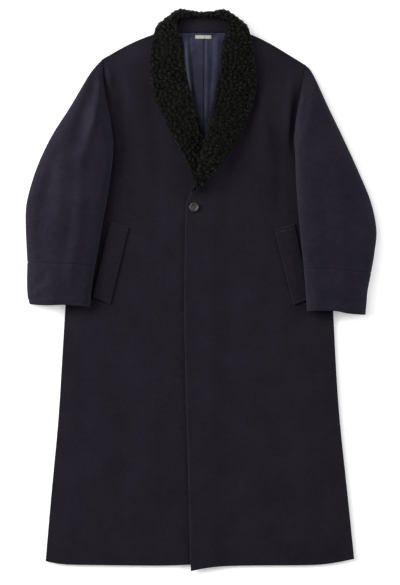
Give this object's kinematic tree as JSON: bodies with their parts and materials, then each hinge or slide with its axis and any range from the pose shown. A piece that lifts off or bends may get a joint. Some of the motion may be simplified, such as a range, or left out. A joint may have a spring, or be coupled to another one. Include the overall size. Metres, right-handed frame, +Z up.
{
  "type": "shawl-collar overcoat",
  "caption": "Long wool overcoat with a curly fur shawl collar, one button and slanted welt pockets, laid flat on its back.",
  "frame": {"origin": "on the surface that the coat lies on, at the middle of the coat's box", "axes": "+Z up from the surface, +Y from the hem to the collar, +X to the wearer's left"},
  "size_m": [0.8046, 1.2879, 0.0359],
  "materials": {
    "wool": "felted navy melton wool",
    "lining": "soft navy twill lining",
    "fur": "black curly fur",
    "tape": "plain woven tape",
    "horn": "polished dark horn"
  },
  "bodies": {
    "root": {"back": "wool", "front_right": "wool", "front_left": "wool", "sleeve_right_top": "wool", "sleeve_right_under": "wool", "cuff_right": "wool", "sleeve_left_top": "wool", "sleeve_left_under": "wool", "cuff_left": "wool", "pocket_welt_right": "wool", "pocket_welt_left": "wool", "lining_back": "lining", "collar_stand": "wool", "label": "tape", "hanger_loop": "lining", "collar_right": "fur", "collar_left": "fur", "button": "horn"}
  },
  "joints": []
}
